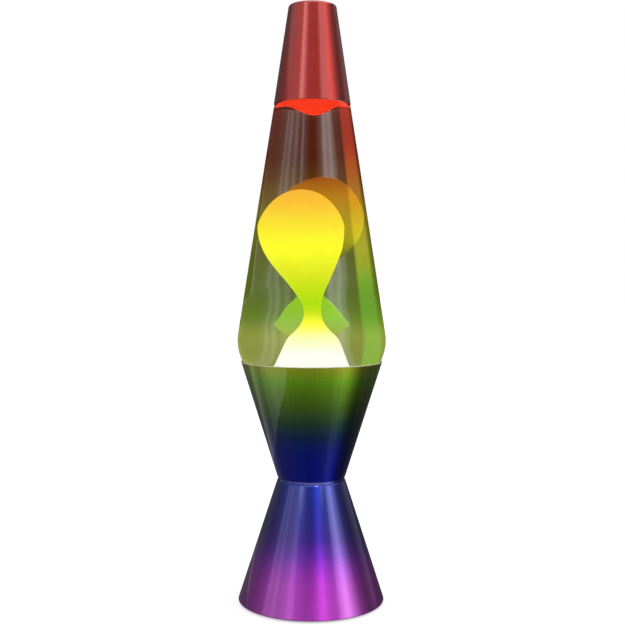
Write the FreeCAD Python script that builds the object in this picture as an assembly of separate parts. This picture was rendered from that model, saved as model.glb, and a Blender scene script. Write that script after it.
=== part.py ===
"""Lava lamp: waisted spun-metal base, tapered liquid-filled glass globe and a lift-off metal cap.

Units are millimetres, +Z is up.  The origin is the centre of the footprint, at the level the
rubber feet stand on.  Nearly every piece is turned about the Z axis, so most of them are
revolved profiles.  The cord leaves at the rear, which is +Y.
"""
import math
import os

import FreeCAD
import Part

# ---- overall dimensions -------------------------------------------------------------------
TOTAL_HEIGHT = 368.3            # a 14.5 inch lamp
SHEET = 0.6                     # spun aluminium of the cap and both base cones
GAP = 0.3                       # between pieces that come apart
RUNNING = 0.05                  # between pieces that turn on one another

# ---- cap ----------------------------------------------------------------------------------
CAP_RIM_Z = 308.0
CAP_RIM_R = 23.7
CAP_TOP_R = 14.6
CAP_EDGE = 1.6                  # rounding round the flat top

# ---- globe --------------------------------------------------------------------------------
GLASS_WALL = 2.6
GLASS_FLOOR_Z = 128.0
GLASS_FLOOR = 3.4
GLASS_HEEL = 5.0                # rounding between floor and taper
PUNT_R = 22.0                   # shallow dish under the floor
PUNT_RISE = 1.2
SHOULDER_R = 46.0               # widest radius
SHOULDER_Z = 162.9
SHOULDER_ROLL = 28.0
GLASS_HALF_ANGLE = 8.98         # long cone above the shoulder, degrees
GLASS_TAPER_ANGLE = 24.0        # short cone below the shoulder, degrees
GLASS_TOP_Z = 308.0             # where the long cone turns in towards the neck
GLASS_TOP_ROLL = 7.0
NECK_R = 12.4
NECK_BORE_R = 8.4
NECK_FOOT_Z = 315.5
NECK_FOOT_ROLL = 3.5
NECK_RING_Z = 325.4
NECK_RING_R = 13.2
NECK_TOP_Z = 330.0
LIQUID_TOP_Z = 322.0            # air above this in the neck

# ---- crown closure of the globe -----------------------------------------------------------
LINER_T = 0.5
CROWN_T = 0.35
CROWN_TOP_R = 13.7
CROWN_SKIRT_R = 14.8
CROWN_SKIRT_Z = 324.4
CROWN_FLUTES = 21
CROWN_FLUTE_DEPTH = 0.9

# ---- wax ----------------------------------------------------------------------------------
WAX_CLEAR = 0.15                # film of liquid between wax and glass
WAX_POOL_TOP_Z = 138.6
WAX_POOL_FLARE = 3.0
WAX_NECK_Z = 180.5
WAX_NECK_R = 4.0
WAX_HEAD_Z = 229.0
WAX_HEAD_R = 20.2
WAX_HEAD_TOP_Z = 256.5
WAX_HEAD_SHIFT = -4.6           # the rising head leans to -X
WAX_LENS_Z = 306.6
WAX_LENS_TOP_Z = 311.5
WAX_BULGE_R = 11.0
WAX_BULGE_DROP = 5.0
WAX_BULGE_X = 1.2

# ---- heat-spreading coil on the globe floor ------------------------------------------------
COIL_RING_R = 24.0
COIL_LOOP_R = 2.6
COIL_WIRE_R = 0.45
COIL_TURNS = 30
COIL_POINTS = 8                 # interpolation points on each turn

# ---- base cones ---------------------------------------------------------------------------
UPPER_RIM_Z = 150.0
UPPER_RIM_R = 43.88
UPPER_FOOT_Z = 77.8
UPPER_FOOT_R = 21.05
LOWER_TOP_Z = 76.0
LOWER_TOP_R = 21.2
LOWER_RIM_Z = 0.8
LOWER_RIM_R = 45.6
CONE_EDGE = 0.9                 # rounding of the folds at the waist
HEM = 1.7                       # rolled hem round the foot of the lower cone
CENTRE_HOLE_R = 12.2
WAIST_RING_R = 20.75

# ---- lampholder ---------------------------------------------------------------------------
HOLDER_R = 12.0
HOLDER_BORE_R = 9.9
HOLDER_TOP_Z = 82.8
HOLDER_WEB_TOP_Z = 58.2
HOLDER_WEB_Z = 55.4
HOLDER_FOOT_Z = 49.5
HOLDER_SKIRT_BORE_R = 10.5
HOLDER_FLANGE_R = 16.0
HOLDER_FLANGE_T = 3.2
HOLDER_THREAD_PITCH = 1.5
HOLDER_THREAD_DEPTH = 0.4
RING_NUT_R = 16.5
RING_NUT_T = 3.4
RING_NUT_NOTCHES = 12
RING_NUT_NOTCH_R = 1.1
CONTACT_T = 0.4

# ---- E17 screw thread ---------------------------------------------------------------------
E17_PITCH = 2.822
E17_RIDGE_R = 0.7               # section radius of both rolled ridges
LAMP_SHELL_R = 7.5
LAMP_SHELL_BORE_R = 6.6
LAMP_RIDGE_AT_R = 7.6
LAMP_RIDGE_Z = 65.0
LAMP_RIDGE_TURNS = 4.5
SOCKET_SHELL_BORE_R = 9.0
SOCKET_RIDGE_AT_R = 8.75
SOCKET_RIDGE_TURNS = 3.5
SOCKET_SHELL_TOP_Z = 80.4
SOCKET_FLANGE_BORE_R = 6.5

# ---- bulb ---------------------------------------------------------------------------------
BULB_TIP_Z = 60.2
BULB_TIP_R = 2.6
BULB_TIP_T = 1.0
BULB_SHELL_Z = 63.3
BULB_SHELL_TOP_Z = 79.6
BULB_TOP_Z = 118.7
BULB_R = 17.45
BULB_GLASS = 0.8
BULB_NECK_R = 5.9
BULB_FLARE_Z = 86.5
BULB_SHOULDER_Z = 98.0
BULB_SHOULDER_ROLL = 11.5         # ends below the rounding of the bulb's top
STEM_TOP_Z = 93.0
FILAMENT_Z = 104.0
FILAMENT_SPAN = 8.0
FILAMENT_WIRE_R = 0.3
LEAD_WIRE_R = 0.3

# ---- underside ----------------------------------------------------------------------------
PLATE_T = 1.0
PLATE_R = 43.8
VENT_COUNT = 8
VENT_R = 3.0
VENT_AT_R = 21.0
FOOT_R = 6.0
FOOT_AT_R = 34.0
FASTENER_COUNT = 3
SCREW_AT_R = 35.0
SCREW_R = 1.5
SCREW_HEAD_R = 2.9
SCREW_HEAD_T = 1.3
SCREW_LENGTH = 9.0
TAB_T = 1.5
TAB_W = 12.0
TAB_INNER_R = 29.0
TAB_HEIGHT = 14.0
LABEL_R = 12.0
LABEL_T = 0.15

# ---- cord bushing -------------------------------------------------------------------------
BUSHING_Z = 15.0
BUSHING_BORE_R = 3.0
BUSHING_R = 4.5
BUSHING_FLANGE_R = 7.0
BUSHING_FLANGE_T = 2.2
BUSHING_BARB_R = 5.4
BUSHING_TAIL = 6.0

# ---- small fasteners inside the lampholder ------------------------------------------------
TERMINAL_W = 7.4
TERMINAL_D = 6.4
TERMINAL_T = 0.8
TERMINAL_X = 6.0
TERMINAL_SCREW_R = 1.25
TERMINAL_HEAD_R = 2.1
TERMINAL_HEAD_T = 1.8
RIVET_R = 0.9
RIVET_HEAD_R = 1.2
RIVET_HEAD_T = 0.5
OUTER_FASTENER_X = 7.8
INNER_FASTENER_X = 4.0


# ---- drawing helpers ----------------------------------------------------------------------
def vec(x, y, z):
    return FreeCAD.Vector(x, y, z)


def unit(a, b):
    """Direction from a to b in the profile plane, and the distance."""
    dr = b[0] - a[0]
    dz = b[1] - a[1]
    length = math.hypot(dr, dz)
    return dr / length, dz / length, length


def rounded(before, corner, after, radius):
    """Start, middle and end of the fillet arc at a profile corner."""
    ax, az, _ = unit(corner, before)
    bx, bz, _ = unit(corner, after)
    angle = math.acos(max(-1.0, min(1.0, ax * bx + az * bz)))
    run = radius / math.tan(angle / 2)
    start = (corner[0] + ax * run, corner[1] + az * run)
    end = (corner[0] + bx * run, corner[1] + bz * run)
    mx, mz, _ = unit(corner, ((start[0] + end[0]) / 2, (start[1] + end[1]) / 2))
    reach = radius / math.sin(angle / 2)
    middle = (corner[0] + mx * (reach - radius), corner[1] + mz * (reach - radius))
    return start, middle, end


def turned(profile):
    """Solid of revolution about Z of a closed profile of (r, z) or (r, z, fillet) points."""
    edges = []
    count = len(profile)
    arcs = []
    for i, point in enumerate(profile):
        if len(point) == 3:
            arcs.append(rounded(profile[i - 1], point, profile[(i + 1) % count], point[2]))
        else:
            arcs.append((point, None, point))
    for i in range(count):
        start, middle, end = arcs[i]
        if middle:
            points = [vec(p[0], 0, p[1]) for p in (start, middle, end)]
            edges.append(Part.Arc(*points).toShape())
        following = arcs[(i + 1) % count][0]
        if math.dist(end[:2], following[:2]) > 1e-7:
            edges.append(Part.makeLine(vec(end[0], 0, end[1]), vec(following[0], 0, following[1])))
    face = Part.Face(Part.Wire(edges))
    return face.revolve(vec(0, 0, 0), vec(0, 0, 1), 360)


def disc(radius, z0, z1, x=0.0, y=0.0):
    return Part.makeCylinder(radius, z1 - z0, vec(x, y, z0))


def washer(outer, inner, z0, z1):
    return disc(outer, z0, z1).cut(disc(inner, z0, z1))


def block(x0, x1, y0, y1, z0, z1):
    return Part.makeBox(x1 - x0, y1 - y0, z1 - z0, vec(x0, y0, z0))


def around(shape, count, offset=0.0):
    """Copies of a shape at equal angles about Z."""
    copies = []
    for i in range(count):
        copy = shape.copy()
        copy.rotate(vec(0, 0, 0), vec(0, 0, 1), offset + 360.0 * i / count)
        copies.append(copy)
    return copies


def helical_ridge(radius, section, z0, turns):
    """Round ridge wound along a right-hand helix."""
    path = Part.makeHelix(E17_PITCH, E17_PITCH * turns, radius)
    path.translate(vec(0, 0, z0))
    lead = vec(0, radius, E17_PITCH / (2 * math.pi))
    ring = Part.Wire(Part.makeCircle(section, vec(radius, 0, z0), lead))
    return Part.Wire(path.Edges).makePipeShell([ring], True, True)


def loft(rings):
    return Part.makeLoft(rings, True, False)


def ring_wire(radius, x, z):
    return Part.Wire(Part.makeCircle(radius, vec(x, 0, z)))


# ---- profile geometry shared by several pieces --------------------------------------------
def cone_radius(z, foot_r, foot_z, rim_r, rim_z):
    return foot_r + (rim_r - foot_r) * (z - foot_z) / (rim_z - foot_z)


def slant(foot_r, foot_z, rim_r, rim_z, thickness):
    """Horizontal width of a conical wall of the given thickness."""
    return thickness * math.hypot(rim_r - foot_r, rim_z - foot_z) / abs(rim_z - foot_z)


def lower_inner(z):
    wall = slant(LOWER_TOP_R, LOWER_TOP_Z, LOWER_RIM_R, LOWER_RIM_Z, SHEET)
    return cone_radius(z, LOWER_TOP_R, LOWER_TOP_Z, LOWER_RIM_R, LOWER_RIM_Z) - wall


def upper_inner(z):
    wall = slant(UPPER_FOOT_R, UPPER_FOOT_Z, UPPER_RIM_R, UPPER_RIM_Z, SHEET)
    return cone_radius(z, UPPER_FOOT_R, UPPER_FOOT_Z, UPPER_RIM_R, UPPER_RIM_Z) - wall


def shoulder_corner(inset):
    """Corner of the two cones that meet at the globe's widest ring."""
    roll = SHOULDER_ROLL - inset
    half = math.radians((GLASS_HALF_ANGLE + GLASS_TAPER_ANGLE) / 2)
    middle = math.radians((GLASS_HALF_ANGLE - GLASS_TAPER_ANGLE) / 2)
    reach = roll / math.cos(half)
    centre_r = SHOULDER_R - SHOULDER_ROLL
    return centre_r + reach * math.cos(middle), SHOULDER_Z + reach * math.sin(middle), roll


def glass_outline(inset, floor_z):
    """Floor corner, shoulder corner and top corner of the globe, inset by a wall."""
    corner_r, corner_z, roll = shoulder_corner(inset)
    taper = math.tan(math.radians(GLASS_TAPER_ANGLE))
    lean = math.tan(math.radians(GLASS_HALF_ANGLE))
    floor_r = corner_r - (corner_z - floor_z) * taper
    top_z = GLASS_TOP_Z - inset
    top_r = corner_r - (top_z - corner_z) * lean
    heel = max(GLASS_HEEL - inset, 1.0)
    top_roll = max(GLASS_TOP_ROLL - inset, 1.0)
    return (floor_r, floor_z, heel), (corner_r, corner_z, roll), (top_r, top_z, top_roll)


# ---- cap ----------------------------------------------------------------------------------
def top_cap():
    wall = slant(CAP_RIM_R, CAP_RIM_Z, CAP_TOP_R, TOTAL_HEIGHT, SHEET)
    under_z = TOTAL_HEIGHT - SHEET
    under_r = cone_radius(under_z, CAP_RIM_R, CAP_RIM_Z, CAP_TOP_R, TOTAL_HEIGHT) - wall
    return turned([
        (0, TOTAL_HEIGHT),
        (CAP_TOP_R, TOTAL_HEIGHT, CAP_EDGE),
        (CAP_RIM_R, CAP_RIM_Z, SHEET / 3),
        (CAP_RIM_R - wall, CAP_RIM_Z),
        (under_r, under_z, CAP_EDGE - SHEET),
        (0, under_z),
    ])


# ---- globe and what it holds --------------------------------------------------------------
def globe_cavity(top_z, film):
    """Inside of the globe up to a level, less a film against the wall."""
    floor, corner, top = glass_outline(GLASS_WALL + film, GLASS_FLOOR_Z + GLASS_FLOOR + film)
    bore = NECK_BORE_R - film
    return turned([
        (0, floor[1]),
        floor,
        corner,
        top,
        (bore, NECK_FOOT_Z - GLASS_WALL, NECK_FOOT_ROLL),
        (bore, top_z),
        (0, top_z),
    ])


def globe_glass():
    floor, corner, top = glass_outline(0.0, GLASS_FLOOR_Z)
    body = turned([
        (0, GLASS_FLOOR_Z + PUNT_RISE),
        (PUNT_R / 2, GLASS_FLOOR_Z + PUNT_RISE, PUNT_R),
        (PUNT_R, GLASS_FLOOR_Z, GLASS_WALL),
        floor,
        corner,
        top,
        (NECK_R, NECK_FOOT_Z, NECK_FOOT_ROLL),
        (NECK_R, NECK_RING_Z),
        (NECK_RING_R, NECK_RING_Z + NECK_RING_R - NECK_R),
        (NECK_RING_R, NECK_TOP_Z, GLASS_WALL / 2),
        (0, NECK_TOP_Z),
    ])
    cavity = globe_cavity(NECK_TOP_Z, 0.0)
    return body.cut(cavity)


def wax_column():
    """Pool on the floor, thin neck and rising head, as one body of wax."""
    pool_floor = GLASS_FLOOR_Z + GLASS_FLOOR + WAX_CLEAR
    pool = globe_cavity(NECK_TOP_Z, WAX_CLEAR).common(
        disc(SHOULDER_R, pool_floor - WAX_CLEAR, WAX_POOL_TOP_Z))
    pool_r = glass_outline(GLASS_WALL + WAX_CLEAR, pool_floor)[0][0]
    rings = []
    flare_steps = 8
    for i in range(flare_steps + 1):
        rise = i / flare_steps
        z = WAX_POOL_TOP_Z + (WAX_NECK_Z - WAX_POOL_TOP_Z) * rise
        radius = WAX_NECK_R + (pool_r - WAX_POOL_FLARE - WAX_NECK_R) * (1 - rise) ** 1.6
        rings.append(ring_wire(radius, 0.0, z))
    head_steps = 6
    for i in range(1, head_steps + 1):
        rise = i / head_steps
        ease = (1 - math.cos(math.pi * rise)) / 2
        z = WAX_NECK_Z + (WAX_HEAD_Z - WAX_NECK_Z) * rise
        radius = WAX_NECK_R + (WAX_HEAD_R - WAX_NECK_R) * ease
        rings.append(ring_wire(radius, WAX_HEAD_SHIFT * ease, z))
    dome_steps = 5
    for i in range(1, dome_steps + 1):
        turn = math.radians(80) * i / dome_steps
        z = WAX_HEAD_Z + (WAX_HEAD_TOP_Z - WAX_HEAD_Z) * math.sin(turn) / math.sin(math.radians(80))
        rings.append(ring_wire(WAX_HEAD_R * math.cos(turn), WAX_HEAD_SHIFT, z))
    return pool.fuse(loft(rings)).removeSplitter()


def wax_lens():
    """Wax that has collected under the globe's shoulder, with a drop about to fall."""
    layer = globe_cavity(NECK_TOP_Z, WAX_CLEAR).common(
        disc(SHOULDER_R, WAX_LENS_Z, WAX_LENS_TOP_Z))
    drop_r = (WAX_BULGE_R ** 2 + WAX_BULGE_DROP ** 2) / (2 * WAX_BULGE_DROP)
    drop = Part.makeSphere(drop_r, vec(WAX_BULGE_X, 0, WAX_LENS_Z - WAX_BULGE_DROP + drop_r))
    drop = drop.common(disc(SHOULDER_R, WAX_LENS_Z - drop_r, WAX_LENS_Z + SHEET))
    return layer.fuse(drop).removeSplitter()


def globe_liquid(column, lens):
    return globe_cavity(LIQUID_TOP_Z, 0.0).cut(column).cut(lens)


def coil_spring():
    """Wire spring bent into a ring, lying in the wax on the globe floor."""
    level = GLASS_FLOOR_Z + GLASS_FLOOR + COIL_LOOP_R + COIL_WIRE_R + GAP
    steps = COIL_TURNS * COIL_POINTS
    points = []
    for i in range(steps):
        turn = 2 * math.pi * i / steps
        wind = turn * COIL_TURNS
        radius = COIL_RING_R + COIL_LOOP_R * math.cos(wind)
        height = level + COIL_LOOP_R * math.sin(wind)
        points.append(vec(radius * math.cos(turn), radius * math.sin(turn), height))
    curve = Part.BSplineCurve()
    curve.interpolate(points)
    heading = curve.tangent(curve.FirstParameter)[0]
    section = Part.Wire(Part.makeCircle(COIL_WIRE_R, points[0], heading))
    return Part.Wire(curve.toShape()).makePipeShell([section], True, True)


def fluted_wire(radius, depth, z):
    points = []
    for i in range(CROWN_FLUTES * 8):
        turn = 2 * math.pi * i / (CROWN_FLUTES * 8)
        reach = radius + depth * math.cos(CROWN_FLUTES * turn)
        points.append(vec(reach * math.cos(turn), reach * math.sin(turn), z))
    curve = Part.BSplineCurve()
    curve.interpolate(points, PeriodicFlag=True)
    return Part.Wire(curve.toShape())


def crown_cap():
    """Crimped steel crown closure with a fluted skirt."""
    top_z = NECK_TOP_Z + LINER_T + CROWN_T
    bend_z = NECK_TOP_Z
    outer = loft([fluted_wire(CROWN_SKIRT_R, CROWN_FLUTE_DEPTH, CROWN_SKIRT_Z),
                  fluted_wire(CROWN_TOP_R + CROWN_T, 0.0, bend_z)])
    inner = loft([fluted_wire(CROWN_SKIRT_R - CROWN_T, CROWN_FLUTE_DEPTH, CROWN_SKIRT_Z),
                  fluted_wire(CROWN_TOP_R, 0.0, bend_z)])
    lid = turned([
        (0, top_z),
        (CROWN_TOP_R + CROWN_T, top_z, CROWN_T),
        (CROWN_TOP_R + CROWN_T, bend_z),
        (CROWN_TOP_R, bend_z),
        (CROWN_TOP_R, top_z - CROWN_T),
        (0, top_z - CROWN_T),
    ])
    return outer.cut(inner).fuse(lid)


def crown_liner():
    return disc(NECK_RING_R, NECK_TOP_Z, NECK_TOP_Z + LINER_T)


# ---- base shell ---------------------------------------------------------------------------
def base_upper_cone():
    floor_z = UPPER_FOOT_Z + SHEET
    return turned([
        (CENTRE_HOLE_R, UPPER_FOOT_Z),
        (UPPER_FOOT_R, UPPER_FOOT_Z, CONE_EDGE),
        (UPPER_RIM_R, UPPER_RIM_Z, SHEET / 3),
        (upper_inner(UPPER_RIM_Z), UPPER_RIM_Z),
        (upper_inner(floor_z), floor_z, SHEET),
        (CENTRE_HOLE_R, floor_z),
    ])


def waist_ring():
    return washer(WAIST_RING_R, CENTRE_HOLE_R, LOWER_TOP_Z, UPPER_FOOT_Z)


def lower_cavity():
    """Space inside the lower cone."""
    top_z = LOWER_TOP_Z - SHEET
    return turned([
        (0, 0),
        (lower_inner(0), 0),
        (lower_inner(top_z), top_z),
        (0, top_z),
    ])


def bushing_frame(shape):
    """Moves a shape built along +Z onto the rear wall, along that wall's outward normal."""
    lean = math.degrees(math.atan2(LOWER_RIM_R - LOWER_TOP_R, LOWER_TOP_Z - LOWER_RIM_Z))
    wall_r = cone_radius(BUSHING_Z, LOWER_TOP_R, LOWER_TOP_Z, LOWER_RIM_R, LOWER_RIM_Z)
    shape.rotate(vec(0, 0, 0), vec(1, 0, 0), lean - 90)
    shape.translate(vec(0, wall_r, BUSHING_Z))
    return shape


def base_lower_cone():
    top_z = LOWER_TOP_Z - SHEET
    hem_r = LOWER_RIM_R - HEM
    hem_z = LOWER_RIM_Z + HEM
    shell = turned([
        (CENTRE_HOLE_R, LOWER_TOP_Z),
        (LOWER_TOP_R, LOWER_TOP_Z, CONE_EDGE),
        (LOWER_RIM_R, LOWER_RIM_Z, SHEET),
        (hem_r, LOWER_RIM_Z, SHEET),
        (hem_r, hem_z),
        (lower_inner(hem_z), hem_z),
        (lower_inner(top_z), top_z, SHEET),
        (CENTRE_HOLE_R, top_z),
    ])
    hole = bushing_frame(disc(BUSHING_R, -BUSHING_TAIL, BUSHING_TAIL))
    return shell.cut(hole)


# ---- lampholder ---------------------------------------------------------------------------
def lampholder_housing():
    flange_top = LOWER_TOP_Z - SHEET
    flange_foot = flange_top - HOLDER_FLANGE_T
    body = turned([
        (HOLDER_SKIRT_BORE_R, HOLDER_FOOT_Z),
        (HOLDER_R, HOLDER_FOOT_Z, SHEET),
        (HOLDER_R, flange_foot),
        (HOLDER_FLANGE_R, flange_foot, SHEET),
        (HOLDER_FLANGE_R, flange_top),
        (HOLDER_R, flange_top),
        (HOLDER_R, HOLDER_TOP_Z, SHEET),
        (HOLDER_BORE_R, HOLDER_TOP_Z),
        (HOLDER_BORE_R, HOLDER_WEB_TOP_Z),
        (0, HOLDER_WEB_TOP_Z),
        (0, HOLDER_WEB_Z),
        (HOLDER_SKIRT_BORE_R, HOLDER_WEB_Z),
    ])
    z = UPPER_FOOT_Z + SHEET + HOLDER_THREAD_PITCH / 2
    while z < HOLDER_TOP_Z - HOLDER_THREAD_PITCH / 2:
        groove = washer(HOLDER_R + GAP, HOLDER_R - HOLDER_THREAD_DEPTH, z, z + HOLDER_THREAD_PITCH / 2)
        body = body.cut(groove)
        z += HOLDER_THREAD_PITCH
    for side in (-1, 1):
        screw_x = side * (OUTER_FASTENER_X if side < 0 else INNER_FASTENER_X)
        rivet_x = side * (INNER_FASTENER_X if side < 0 else OUTER_FASTENER_X)
        screw_top = HOLDER_WEB_TOP_Z - SHEET
        body = body.cut(disc(TERMINAL_SCREW_R, HOLDER_WEB_Z, screw_top, screw_x))
        body = body.cut(disc(RIVET_R, HOLDER_WEB_Z, HOLDER_WEB_TOP_Z, rivet_x))
    return body


def lampholder_ring_nut():
    foot = UPPER_FOOT_Z + SHEET
    top = foot + RING_NUT_T
    nut = turned([
        (HOLDER_R, foot),
        (RING_NUT_R, foot),
        (RING_NUT_R, top, SHEET),
        (HOLDER_R, top),
    ])
    notch = disc(RING_NUT_NOTCH_R, foot, top, RING_NUT_R + RING_NUT_NOTCH_R / 2)
    for cutter in around(notch, RING_NUT_NOTCHES):
        nut = nut.cut(cutter)
    return nut


def socket_thread_shell():
    floor_z = HOLDER_WEB_TOP_Z + CONTACT_T
    tube = turned([
        (SOCKET_FLANGE_BORE_R, HOLDER_WEB_TOP_Z),
        (HOLDER_BORE_R, HOLDER_WEB_TOP_Z),
        (HOLDER_BORE_R, SOCKET_SHELL_TOP_Z),
        (SOCKET_SHELL_BORE_R, SOCKET_SHELL_TOP_Z),
        (SOCKET_SHELL_BORE_R, floor_z),
        (SOCKET_FLANGE_BORE_R, floor_z),
    ])
    ridge = helical_ridge(SOCKET_RIDGE_AT_R, E17_RIDGE_R, LAMP_RIDGE_Z - E17_PITCH / 2,
                          SOCKET_RIDGE_TURNS)
    rivet_hole = disc(RIVET_R, HOLDER_WEB_TOP_Z, floor_z, OUTER_FASTENER_X)
    return tube.fuse(ridge).cut(rivet_hole)


def socket_tongue():
    """Springy strip that touches the bulb's tip."""
    foot_z = HOLDER_WEB_TOP_Z
    tip_z = BULB_TIP_Z - GAP
    reach = SOCKET_FLANGE_BORE_R - GAP
    outline = [
        (-reach + GAP, foot_z), (-BULB_TIP_R, foot_z),
        (0, tip_z - CONTACT_T), (BULB_TIP_R, tip_z - 2 * CONTACT_T),
        (BULB_TIP_R, tip_z - CONTACT_T), (0, tip_z),
        (-BULB_TIP_R, foot_z + CONTACT_T), (-reach + GAP, foot_z + CONTACT_T),
    ]
    half = BULB_TIP_R - GAP
    points = [vec(x, -half, z) for x, z in outline]
    face = Part.Face(Part.makePolygon(points + points[:1]))
    strip = face.extrude(vec(0, 2 * half, 0))
    return strip.cut(disc(RIVET_R, foot_z, foot_z + CONTACT_T, -INNER_FASTENER_X))


def terminal_plates():
    """Two terminal plates under the lampholder's web, one for each conductor."""
    plates = []
    for side in (-1, 1):
        centre = side * TERMINAL_X
        plate = block(centre - TERMINAL_W / 2, centre + TERMINAL_W / 2,
                      -TERMINAL_D / 2, TERMINAL_D / 2, HOLDER_WEB_Z - TERMINAL_T, HOLDER_WEB_Z)
        plate = plate.common(disc(HOLDER_SKIRT_BORE_R, HOLDER_FOOT_Z, HOLDER_WEB_Z))
        screw_x = side * (OUTER_FASTENER_X if side < 0 else INNER_FASTENER_X)
        rivet_x = side * (INNER_FASTENER_X if side < 0 else OUTER_FASTENER_X)
        low = HOLDER_WEB_Z - TERMINAL_T
        plate = plate.cut(disc(TERMINAL_SCREW_R, low, HOLDER_WEB_Z, screw_x))
        plate = plate.cut(disc(RIVET_R, low, HOLDER_WEB_Z, rivet_x))
        plates.append(plate)
    return Part.makeCompound(plates)


def terminal_screws():
    screws = []
    for x in (-OUTER_FASTENER_X, INNER_FASTENER_X):
        seat = HOLDER_WEB_Z - TERMINAL_T
        head = disc(TERMINAL_HEAD_R, seat - TERMINAL_HEAD_T, seat, x)
        slot = block(x - TERMINAL_HEAD_R, x + TERMINAL_HEAD_R, -GAP, GAP,
                     seat - TERMINAL_HEAD_T, seat - TERMINAL_HEAD_T / 2)
        shank = disc(TERMINAL_SCREW_R, seat, HOLDER_WEB_TOP_Z - SHEET, x)
        screws.append(head.cut(slot).fuse(shank))
    return Part.makeCompound(screws)


def lampholder_rivets():
    rivets = []
    for x in (-INNER_FASTENER_X, OUTER_FASTENER_X):
        low = HOLDER_WEB_Z - TERMINAL_T
        high = HOLDER_WEB_TOP_Z + CONTACT_T
        shank = disc(RIVET_R, low, high, x)
        foot = disc(RIVET_HEAD_R, low - RIVET_HEAD_T, low, x)
        head = disc(RIVET_HEAD_R, high, high + RIVET_HEAD_T, x)
        rivets.append(shank.fuse(foot).fuse(head))
    return Part.makeCompound(rivets)


# ---- bulb ---------------------------------------------------------------------------------
def bulb_outline(inset, foot_z):
    return [
        (0, BULB_TOP_Z - inset),
        (BULB_R - inset, BULB_TOP_Z - inset, BULB_R - inset - GAP),
        (BULB_R - inset, BULB_SHOULDER_Z, BULB_SHOULDER_ROLL),
        (BULB_NECK_R - inset, BULB_FLARE_Z - BULB_NECK_R, BULB_NECK_R),
        (BULB_NECK_R - inset, foot_z),
        (0, foot_z),
    ]


def bulb_envelope():
    foot_z = BULB_SHELL_Z + BULB_TIP_T * 8
    return turned(bulb_outline(0.0, foot_z)).cut(turned(bulb_outline(BULB_GLASS, foot_z)))


def bulb_stem():
    """Glass mount sealed into the neck, drawn to a narrow pinch."""
    foot_z = BULB_SHELL_Z + BULB_TIP_T * 8
    inner = BULB_NECK_R - BULB_GLASS
    return turned([
        (0, foot_z + BULB_TIP_T),
        (inner - BULB_GLASS, foot_z),
        (inner, foot_z),
        (inner, foot_z + BULB_TIP_T),
        (BULB_TIP_R, foot_z + BULB_SHELL_TOP_Z - BULB_SHELL_Z, BULB_TIP_R),
        (BULB_TIP_T, STEM_TOP_Z, BULB_GLASS / 2),
        (0, STEM_TOP_Z),
    ])


def bulb_screw_shell():
    tube = turned([
        (LAMP_SHELL_BORE_R, BULB_SHELL_Z),
        (LAMP_SHELL_R, BULB_SHELL_Z, SHEET / 2),
        (LAMP_SHELL_R, BULB_SHELL_TOP_Z, SHEET / 2),
        (LAMP_SHELL_BORE_R, BULB_SHELL_TOP_Z),
    ])
    return tube.fuse(helical_ridge(LAMP_RIDGE_AT_R, E17_RIDGE_R, LAMP_RIDGE_Z, LAMP_RIDGE_TURNS))


def bulb_cement():
    foot_z = BULB_SHELL_Z + BULB_TIP_T * 8
    return washer(LAMP_SHELL_BORE_R, BULB_NECK_R, foot_z, BULB_FLARE_Z - BULB_NECK_R - GAP * 5)


def bulb_insulator():
    foot_z = BULB_TIP_Z + BULB_TIP_T
    return turned([
        (0, foot_z),
        (BULB_TIP_R, foot_z),
        (LAMP_SHELL_BORE_R, BULB_SHELL_Z),
        (LAMP_SHELL_BORE_R, BULB_SHELL_Z + BULB_TIP_T),
        (0, BULB_SHELL_Z + BULB_TIP_T),
    ])


def bulb_tip_contact():
    return turned([
        (0, BULB_TIP_Z),
        (BULB_TIP_R, BULB_TIP_Z, BULB_TIP_T / 2),
        (BULB_TIP_R, BULB_TIP_Z + BULB_TIP_T - RUNNING),
        (0, BULB_TIP_Z + BULB_TIP_T - RUNNING),
    ])


def bulb_filament():
    """Coiled filament strung in a shallow arc between the two lead wires."""
    left = vec(-FILAMENT_SPAN, 0, FILAMENT_Z)
    right = vec(FILAMENT_SPAN, 0, FILAMENT_Z)
    arc = Part.Wire(Part.Arc(left, vec(0, FILAMENT_SPAN, FILAMENT_Z), right).toShape())
    section = Part.Wire(Part.makeCircle(FILAMENT_WIRE_R, left, vec(0, 1, 0)))
    return arc.makePipeShell([section], True, False)


def bulb_lead_wires():
    wires = []
    for side in (-1, 1):
        foot = vec(side * LEAD_WIRE_R * 2, 0, STEM_TOP_Z + LEAD_WIRE_R)
        head = vec(side * FILAMENT_SPAN, 0, FILAMENT_Z - 2 * FILAMENT_WIRE_R)
        run = head - foot
        wires.append(Part.makeCylinder(LEAD_WIRE_R, run.Length, foot, run))
    return Part.makeCompound(wires)


# ---- underside ----------------------------------------------------------------------------
def plate_levels():
    foot = LOWER_RIM_Z + HEM
    return foot, foot + PLATE_T


def base_plate():
    foot, top = plate_levels()
    plate = disc(PLATE_R, foot, top)
    for vent in around(disc(VENT_R, foot, top, VENT_AT_R), VENT_COUNT):
        plate = plate.cut(vent)
    for hole in around(disc(SCREW_R, foot, top, SCREW_AT_R), FASTENER_COUNT, 30):
        plate = plate.cut(hole)
    return plate


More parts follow.
